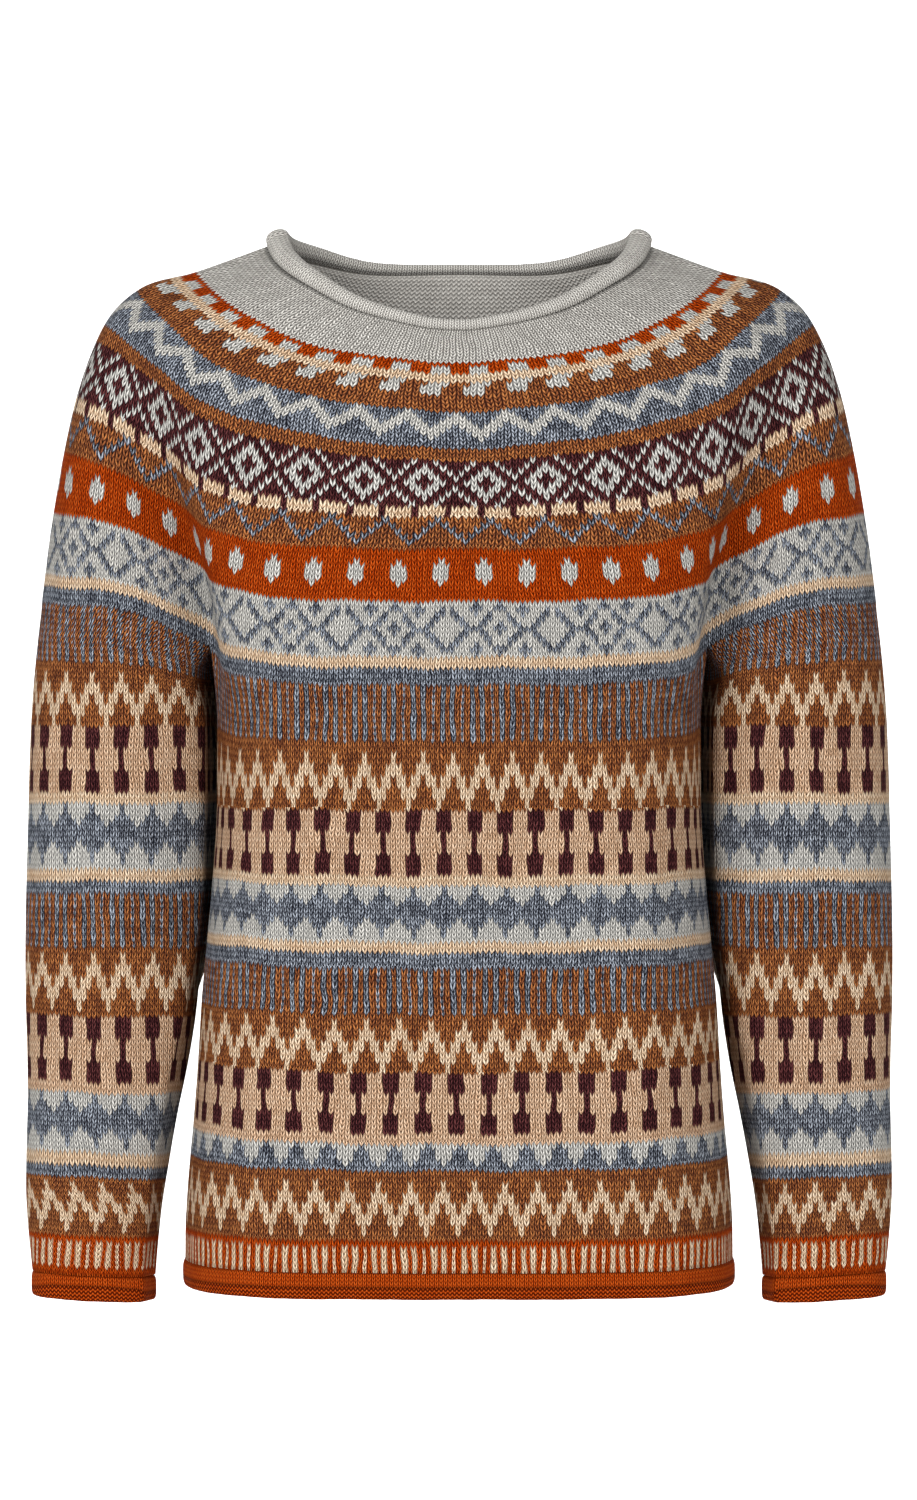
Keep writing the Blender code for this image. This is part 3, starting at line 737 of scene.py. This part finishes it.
def hangingRoll(name, edge, roll):
    # a rolled edge that hangs below the last ring of a wall
    ring = edge.copy()
    normals = outwardNormals(np.array([ring, ring - (0, 0, 1)]), True)[0]
    normals[:, 2] = 0
    normals /= np.linalg.norm(normals, axis=1, keepdims=True)
    height, depth = roll["height"] / 2, roll["depth"] / 2
    ring -= normals * (depth - roll["overhang"])
    ring[:, 2] -= height
    up = np.tile((0.0, 0.0, height), (len(ring), 1))
    return scroll(name, ring, normals * depth, up, roll, roll["early"] * normals[:, 1] ** 2)


def neckRing():
    # the neck roll's middle on the yoke's first ring, and its half sizes outwards and upwards
    top, under = drape(yokeGrid[:1])[0], drape(yokeGrid[1:2])[0]
    along = np.roll(top, -1, axis=0) - np.roll(top, 1, axis=0)
    climb = top - under
    climb /= np.linalg.norm(climb, axis=1, keepdims=True)
    out = np.cross(-climb, along)
    out /= np.linalg.norm(out, axis=1, keepdims=True)
    side = (np.abs(top[:, :1]) / yokeBands[0]["outer"][0]) ** 2
    reach, depth, standOut = (start + (end - start) * side
                              for start, end in (neckRoll[size] for size in ("reach", "depth", "standOut")))
    centre = top + climb * (reach + neckRoll["gap"]) + out * (standOut - cloth["thickness"] / 2)
    return centre, out * depth, climb * reach


neckEdge = scroll("neckRollShell", *neckRing(), neckRoll, np.zeros(yokeGrid.shape[1]))
hemRing = np.concatenate([bodyFront[-1, :-1], bodyBack[-1, :-1]])
hemEdge = hangingRoll("hemRollShell", hang(hemRing), hemRoll)
cuffEdges = {}
for side, flip in sideFlips:
    edge = hangArm(rightSleeve[-1, ::flip] * (flip, 1, 1))[:-1]
    cuffEdges[side] = hangingRoll(f"{side}CuffRollShell", edge, cuffRoll)
print("rolled edges")


def linear(colour):
    # sRGB from 0 to 255, as linear light from 0 to 1
    shares = [part / 255 for part in colour]
    return tuple(share / 12.92 if share <= 0.04045 else ((share + 0.055) / 1.055) ** 2.4 for share in shares)


class Wire:
    # a shader socket that writes its maths nodes from Python expressions
    def __init__(self, tree, socket=None):
        self.tree, self.socket = tree, socket

    def node(self, kind, settings=None, sockets=None, output=0):
        made = self.tree.nodes.new("ShaderNode" + kind)
        for name, value in (settings or {}).items():
            if name == "stops":
                self.setStops(made.color_ramp, value)
            else:
                setattr(made, name, value)
        for name, value in (sockets or {}).items():
            if isinstance(value, Wire):
                self.tree.links.new(value.socket, made.inputs[name])
            else:
                made.inputs[name].default_value = value
        return Wire(self.tree, made.outputs[output] if made.outputs else None)

    def setStops(self, colours, stops):
        # a new colour ramp has two stops already
        colours.interpolation = "CONSTANT"
        for number, (position, colour) in enumerate(stops):
            element = colours.elements[number] if number < 2 else colours.elements.new(position)
            element.position = position
            element.color = (*colour, 1)

    def maths(self, operation, *others):
        return self.node("Math", {"operation": operation}, dict(enumerate((self, *others))))

    __add__ = __radd__ = partialmethod(maths, "ADD")
    __sub__ = partialmethod(maths, "SUBTRACT")
    __rsub__ = partialmethod(maths, "MULTIPLY_ADD", -1)
    __mul__ = __rmul__ = partialmethod(maths, "MULTIPLY")
    __truediv__ = partialmethod(maths, "DIVIDE")
    __mod__ = partialmethod(maths, "FLOORED_MODULO")
    __pow__ = partialmethod(maths, "POWER")
    __lt__ = partialmethod(maths, "LESS_THAN")
    __gt__ = partialmethod(maths, "GREATER_THAN")
    __abs__ = partialmethod(maths, "ABSOLUTE")

    def __rpow__(self, other):
        return self.node("Math", {"operation": "POWER"}, {0: other, 1: self})

    def blend(self, other, share):
        # numbers only: this one where share is 0, the other where it is 1
        return self + share * (other - self)

    def patch(self, x, y, z, scale=1, detail=1):
        # soft noise at a place on the cloth
        place = self.node("CombineXYZ", {}, {0: x, 1: y, 2: z})
        return self.node("TexNoise", {}, {"Vector": place, "Scale": scale, "Detail": detail})

    def parts(self):
        return [self.node("SeparateXYZ", {}, {0: self}, output) for output in range(3)]

    def mixed(self, other, share, way="MIX"):
        # by number, because a Mix node's colour sockets share their names with others
        settings = {"data_type": "RGBA", "blend_type": way}
        return self.node("Mix", settings, {0: share, 6: self, 7: other}, 2)


def hump(wire, width):
    # 1 in the middle, falling away smoothly on both sides
    return (wire * wire * (-1 / width**2)).maths("EXPONENT")


# Below darkBelow a fleck is the yarn's dark tone, above paleAbove its pale one, and sharpness is how soon.
# rampPlaces is the number of equal places on a colour ramp, one for each yarn and the rest unused.
flecks = dict(darkBelow=0.49, paleAbove=0.52, sharpness=6, rampPlaces=16)


def yarnColour(start, number, fleck):
    # the colour of a yarn by its number, with its dark and pale flecks
    count = flecks["rampPlaces"]
    place = (number + 0.5) / count
    tones = []
    for tone in range(3):
        stops = [(index / count, linear(yarns[name][tone])) for index, name in enumerate(yarns)]
        tones.append(start.node("ValToRGB", {"stops": stops}, {0: place}))
    dark = ((flecks["darkBelow"] - fleck) * flecks["sharpness"]).maths("MINIMUM", 1).maths("MAXIMUM", 0)
    pale = ((fleck - flecks["paleAbove"]) * flecks["sharpness"]).maths("MINIMUM", 1).maths("MAXIMUM", 0)
    return tones[0].mixed(tones[1], dark).mixed(tones[2], pale)


# A knit stitch, in stitches across and rows down: how its legs round off, the groove between them, the
# deeper one beside them, and the notch in the fork of the V. The shape is the bump relief and also the
# painted shade.
stitchForm = dict(roundness=0.6, lowest=0.3, middleWidth=0.09, middleDepth=0.5, besideWidth=0.12,
                  besideDepth=0.85, notchWidth=0.2, notchHeight=0.28, notchAt=0.14)


def stitchShape(f, tip):
    # across one knit column f runs from 0 to 1, and tip is 0 on the upper edge of a leg
    form = stitchForm
    edge = 0.5 - abs(f - 0.5)
    rounded = (tip * math.pi).maths("SINE").maths("MAXIMUM", 0) ** form["roundness"]
    ridge = rounded * (1 - form["lowest"]) + form["lowest"]
    middle = 1 - hump(f - 0.5, form["middleWidth"]) * form["middleDepth"]
    groove = middle * (1 - hump(edge, form["besideWidth"]) * form["besideDepth"])
    notch = hump(f - 0.5, form["notchWidth"]) * hump(tip - form["notchAt"], form["notchHeight"])
    return ridge * groove, notch


purlForm = dict(bow=0.26, beads=0.25)


def purlShape(u, v):
    # rows of bowed bumps, two to a stitch
    wave = (u * math.tau).maths("COSINE")
    ridge = ((v + wave * purlForm["bow"]) * math.tau).maths("COSINE") * 0.5 + 0.5
    beads = (u * (2 * math.tau)).maths("COSINE") * purlForm["beads"] + (1 - purlForm["beads"])
    return ridge * beads


# fuzz is fine noise in metres, and it lightens and darkens the yarn by half of fuzzTone each way
wool = dict(fuzzScale=1900, fuzzDetail=2, fuzzRoughness=0.6, fuzzTone=0.2, roughness=0.95, shine=0.03)


def finishMaterial(start, colour, height, paintedShade, fibre, rise):
    # the shade argument is painted shade, multiplied into the base colour; fibre is how much the fuzz adds to
    # the relief, and rise the height of the relief in mm
    place = start.node("TexCoord", output="Object")
    fuzz = start.node("TexNoise", {}, {"Vector": place, "Scale": wool["fuzzScale"],
                                       "Detail": wool["fuzzDetail"], "Roughness": wool["fuzzRoughness"]})
    relief = height + fuzz * fibre
    bump = start.node("Bump", {}, {"Strength": 1, "Distance": rise * mm, "Height": relief})
    # painted shade, with the fuzz's random tone, multiplied into the base colour
    tone = paintedShade * (1 - wool["fuzzTone"] / 2 + fuzz * wool["fuzzTone"])
    shader = start.node("BsdfPrincipled", {}, {
        "Base Color": colour.mixed(tone, 1, "MULTIPLY"), "Roughness": wool["roughness"],
        "Specular IOR Level": wool["shine"], "Normal": bump})
    start.node("OutputMaterial", {}, {0: shader})


def newMaterial(name):
    material = bpy.data.materials.new(name)
    material.use_nodes = True
    material.node_tree.nodes.clear()
    return material, Wire(material.node_tree)


def stitchPlace(start):
    # stitches across and knit rows down
    return start.node("UVMap", {"uv_map": "stitchMap"}).parts()[:2]


def rowData(start, name):
    # the three numbers that the faces of a knit row hold under this name
    return start.node("Attribute", {"attribute_name": name}, output="Vector").parts()


# Streaks run slowly along a row and flecks are short: across and down are how fast each changes, for each
# stitch and row, and share is how much of the tone it makes. legTones is the spread between single legs.
heatherYarn = dict(base=0.1, legTones=0.22,
                   streak=dict(across=0.22, down=0.9, share=0.25),
                   fleck=dict(across=4.6, down=2.9, share=0.55, scale=1.3))


def heather(start, u, v, column, row, leg, legTones=heatherYarn["legTones"]):
    # slow streaks along a row, flecks in the yarn and a tone of its own for each leg of a stitch
    slow, short = heatherYarn["streak"], heatherYarn["fleck"]
    streak = start.patch(u * slow["across"], row * slow["down"], 0.5)
    fleck = start.patch(u * short["across"], v * short["down"], leg, short["scale"])
    own = start.node("TexWhiteNoise", {"noise_dimensions": "3D"}, {
        "Vector": start.node("CombineXYZ", {}, {0: column, 1: row, 2: leg})})
    return fleck * short["share"] + streak * slow["share"] + heatherYarn["base"] + (own - 0.5) * legTones


legReach = 0.82  # how far the tip of a stitch hangs into the row below, in rows
# The knit side: how unevenly the columns run, how much a narrow stitch gives up, how a stitch's edge bows,
# how far its relief height paints shade and highlight into the flecks, and the painted shade from its height
# and notch.
knitLook = dict(uneven=1.1, unevenAcross=0.33, unevenDown=0.24, narrowing=0.31, overlap=0.01,
                bow=0.08, bowStart=-0.05, fleckMiddle=0.68, fleckReliefShade=0.42, fleckNotchShade=0.2,
                shadeDarkest=0.2, shadeFromHeight=0.98, notchShade=0.85, notchDepth=0.5, fibre=0.12, rise=1.0)


def knitFace(name):
    # each stitch is a V that hangs into the row below, so a point shows its own row or the row above
    material, start = newMaterial(name)
    look = knitLook
    u, v = stitchPlace(start)
    uneven = start.patch(u * look["unevenAcross"], v * look["unevenDown"], 0.5)
    u = u + (uneven - 0.5) * look["uneven"]
    ownBits, ownNarrow, ownPeriod = rowData(start, "ownBits")
    ownGround, ownFigure, row = rowData(start, "ownYarns")
    overBits, overNarrow, overPeriod = rowData(start, "overBits")
    overGround, overFigure, overSpread = rowData(start, "overYarns")
    ratio, shift, ownSpread = rowData(start, "overMap")
    f = u.maths("FRACT")
    tip = (v - row) - (1 - abs(f - 0.5) * 2) * legReach
    over = tip < 0
    tip = tip + over
    column = u.maths("FLOOR").blend((u * ratio + shift).maths("FLOOR"), over)
    bits, narrow = ownBits.blend(overBits, over), ownNarrow.blend(overNarrow, over)
    period = ownPeriod.blend(overPeriod, over)

    def drawn(number, place):
        # 1 where the binary number of a row has this stitch
        return ((number + 0.5) / 2 ** (place % period)).maths("FLOOR") % 2

    leg = f > 0.5
    beside = column + leg * 2 - 1
    here, there = drawn(bits, column), drawn(bits, beside)
    spread = ownSpread.blend(overSpread, over) + look["overlap"]
    weight = here * spread - drawn(narrow, column) * look["narrowing"]
    besideWeight = there * spread - drawn(narrow, beside) * look["narrowing"]
    edge = 0.5 - abs(f - 0.5)
    scallop = (tip * math.pi).maths("SINE") * look["bow"] + look["bowStart"]
    covered = edge < (besideWeight - weight + scallop)
    state = here.blend(there, covered)
    yarn = ownGround.blend(overGround, over).blend(ownFigure.blend(overFigure, over), state)
    height, notch = stitchShape(f, tip)
    fleck = heather(start, u, v, column, row - over, leg)
    # painted shade and highlight: pale flecks on the high legs, dark ones in the grooves and the notch
    fleck = fleck + (height - look["fleckMiddle"]) * look["fleckReliefShade"] - notch * look["fleckNotchShade"]
    colour = yarnColour(start, yarn.maths("ROUND"), fleck)
    # painted shade: darker in the grooves beside and between the legs and in the notch of each V
    paintedShade = (look["shadeDarkest"] + height * look["shadeFromHeight"]) * (1 - notch * look["notchShade"])
    relief = height * (1 - notch * look["notchDepth"])
    finishMaterial(start, colour, relief, paintedShade, look["fibre"], look["rise"])
    return material


# The inside: how the floats fall, how many purl ridges make one knit row, and the painted shade over each
# bump.
purlLook = dict(floatsAcross=0.6, floatsDown=3.1, rowsForOne=1.5, shadeDarkest=0.55, shadeFromHeight=0.62,
                fibre=0.15, rise=0.9)


def purlFace(name):
    # the inside of the cloth, where the yarn that isn't in use runs across in short floats
    material, start = newMaterial(name)
    look = purlLook
    u, v = stitchPlace(start)
    ground, figure, row = rowData(start, "ownYarns")
    floats = start.patch(u * look["floatsAcross"], row * look["floatsDown"], 0.5, detail=0)
    yarn = ground.blend(figure, floats > 0.5)
    height = purlShape(u, v * look["rowsForOne"])
    fleck = heather(start, u, v, u.maths("FLOOR"), row, 0.5, 0)
    colour = yarnColour(start, yarn.maths("ROUND"), fleck)
    # painted shade: darker between the purl bumps
    paintedShade = look["shadeDarkest"] + height * look["shadeFromHeight"]
    finishMaterial(start, colour, height, paintedShade, look["fibre"], look["rise"])
    return material


# A rolled edge: painted shade in the crease where knit turns to purl, a broad painted shadow above it, and
# how far the relief height paints shade and highlight into the flecks and the painted shade.
rollLook = dict(creaseWidth=0.26, creaseDarkening=0.6, shadowAt=1.6, shadowWidth=1.0, shadowDepth=0.5,
                legTones=0.12, fleckMiddle=0.58, fleckReliefShade=0.6, shadeMiddle=0.76, notchShade=0.75,
                notchDepth=0.4, fibre=0.15, rise=0.8)


def rollFace(name, yarn, knitRows, relief):
    # knit stitches down to knitRows, then a crease and the purl side; relief is how strongly the relief
    # height is painted in as shade and highlight
    material, start = newMaterial(name)
    look = rollLook
    u, v = stitchPlace(start)
    f = u.maths("FRACT")
    reached = v - (1 - abs(f - 0.5) * 2) * legReach
    knit, notch = stitchShape(f, reached.maths("FRACT"))
    height = purlShape(u, v).blend(knit * (1 - notch * look["notchDepth"]), v < knitRows)
    # painted shade along the crease, and a painted shadow band near the top of the roll
    creaseShade = 1 - hump(v - knitRows, look["creaseWidth"]) * look["creaseDarkening"]
    shadow = 1 - hump(v - look["shadowAt"], look["shadowWidth"]) * look["shadowDepth"]
    fleck = heather(start, u, v, u.maths("FLOOR"), reached.maths("FLOOR"), f > 0.5, look["legTones"])
    # painted shade and highlight from the relief height, on the flecks and on the painted shade
    fleck = fleck + (height - look["fleckMiddle"]) * (relief * look["fleckReliefShade"])
    colour = yarnColour(start, yarnNumber[yarn], fleck)
    paintedShade = 1 + (height - look["shadeMiddle"]) * relief
    paintedShade = paintedShade * (1 - (v < knitRows) * notch * look["notchShade"]) * creaseShade * shadow
    finishMaterial(start, colour, height, paintedShade, look["fibre"], look["rise"])
    return material


knit = knitFace("strandedKnit")
purl = purlFace("purlInside")
ashRoll = rollFace("ashRoll", "ash", knitRows=30, relief=0.8)  # knit all over, inside and out
rustRoll = rollFace("rustRoll", "rust", knitRows=6, relief=1.05)
for piece in (yoke, frontPanel, backPanel, *sleeves.values()):
    piece.data.materials.append(knit)
    piece.data.materials.append(purl)
neckEdge.data.materials.append(ashRoll)
for piece in (hemEdge, *cuffEdges.values()):
    piece.data.materials.append(rustRoll)
print("materials")


# What each piece is, for the frame.
pieces = (
    dict(piece=yoke, node="yoke", slot="yoke_knit", flat=(1.3, 0.27), area=0.267),
    dict(piece=frontPanel, node="body_front", slot="body_knit", flat=(0.46, 0.36), area=0.157),
    dict(piece=backPanel, node="body_back", slot="body_knit", flat=(0.45, 0.36), area=0.156),
    dict(piece=sleeves["right"], node="sleeve_right", slot="sleeve_knit", flat=(0.32, 0.4), area=0.123),
    dict(piece=sleeves["left"], node="sleeve_left", slot="sleeve_knit", flat=(0.32, 0.4), area=0.123),
    dict(piece=neckEdge, node="neck_roll", slot="ash_yarn", flat=(0.57, 0.027), area=None),
    dict(piece=hemEdge, node="hem_roll", slot="rust_yarn", flat=(0.86, 0.036), area=None),
    dict(piece=cuffEdges["right"], node="cuff_roll_right", slot="rust_yarn", flat=(0.2, 0.034), area=None),
    dict(piece=cuffEdges["left"], node="cuff_roll_left", slot="rust_yarn", flat=(0.2, 0.034), area=None),
)
for entry in pieces:
    piece = entry["piece"]
    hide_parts(entry["node"])
    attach(piece, "root")
    area = sum(polygon.area for polygon in piece.data.polygons) / 2
    print("piece", piece.name, "area", round(area, 4), "triangles", 2 * len(piece.data.polygons))


# The origin stands at the centre column and the origin row, and the camera looks level at the level row.
photo = dict(width=917, height=1500, metresPerPixel=0.0006, centreColumn=459, levelRow=750, originRow=262,
             distance=3.2, filmHeight=24)
# A pale floor that sweeps up into a wall, well clear of the garment, with its sizes in metres.
paper = dict(floorZ=-1.5, wallY=4.4, bend=1.2, bendSteps=12, half=7.0, frontY=-7.0, topZ=4.0, tone=0.86)


def addStage():
    floorZ, bend, half = paper["floorZ"], paper["bend"], paper["half"]
    bendY = paper["wallY"] - bend
    profile = [(paper["frontY"], floorZ), (bendY, floorZ)]
    profile += [(bendY + bend * math.sin(t), floorZ + bend * (1 - math.cos(t)))
                for t in np.linspace(0, math.pi / 2, paper["bendSteps"] + 1)[1:]]
    profile.append((paper["wallY"], paper["topZ"]))
    points = [(x, y, z) for y, z in profile for x in (-half, half)]
    faces = [(2 * i, 2 * i + 1, 2 * i + 3, 2 * i + 2) for i in range(len(profile) - 1)]
    mesh = bpy.data.meshes.new("stage")
    mesh.from_pydata(points, [], faces)
    mesh.shade_smooth()
    stage = bpy.data.objects.new("stage", mesh)
    bpy.context.scene.collection.objects.link(stage)
    material, start = newMaterial("palePaper")
    shader = start.node("BsdfPrincipled", {}, {"Base Color": (*[paper["tone"]] * 3, 1), "Roughness": 0.9})
    start.node("OutputMaterial", {}, {0: shader})
    mesh.materials.append(material)
    return stage


# Places, targets and sizes are in metres and the power in watts.
lights = (
    dict(name="keyLight", place=(-2.0, -2.8, 0.8), target=(0, 0, -0.25), size=(1.6, 1.6), power=99),
    dict(name="fillLight", place=(1.6, -3.0, 0.5), target=(0, 0, -0.3), size=(1.8, 1.8), power=60),
    dict(name="upperWallLight", place=(0, 2.9, 1.9), target=(0, 4.4, 1.5), size=(4.0, 0.6), power=120),
    dict(name="lowerWallLight", place=(0, 2.9, -1.42), target=(0, 4.4, -1.1), size=(4.0, 0.5), power=70),
)
roomLight = 0.46


def addLight(name, place, target, size, power):
    lamp = bpy.data.lights.new(name, "AREA")
    lamp.shape = "RECTANGLE"
    lamp.size, lamp.size_y = size
    lamp.energy = power
    light = bpy.data.objects.new(name, lamp)
    bpy.context.scene.collection.objects.link(light)
    light.location = place
    aim = np.array(target, float) - np.array(place, float)
    light.rotation_euler = (math.atan2(math.hypot(aim[0], aim[1]), -aim[2]), 0, math.atan2(-aim[0], aim[1]))


addStage()
for light in lights:
    addLight(**light)
world = bpy.data.worlds.new("paleRoom")
world.use_nodes = True
background = world.node_tree.nodes["Background"]
background.inputs["Color"].default_value = (1, 1, 1, 1)
background.inputs["Strength"].default_value = roomLight
bpy.context.scene.world = world
bpy.context.scene.view_settings.view_transform = "Standard"

lens = bpy.data.cameras.new("photoCamera")
lens.sensor_fit = "VERTICAL"
lens.sensor_height = photo["filmHeight"]
lens.lens = photo["filmHeight"] * photo["distance"] / photo["metresPerPixel"] / photo["height"]
lens.clip_end = 30
camera = bpy.data.objects.new("photoCamera", lens)
bpy.context.scene.collection.objects.link(camera)
camera.location = (
    (photo["width"] / 2 - photo["centreColumn"]) * photo["metresPerPixel"],
    -photo["distance"],
    (photo["originRow"] - photo["levelRow"]) * photo["metresPerPixel"],
)
camera.rotation_euler = (math.pi / 2, 0, 0)
bpy.context.scene.camera = camera
print("stage, lights and camera")
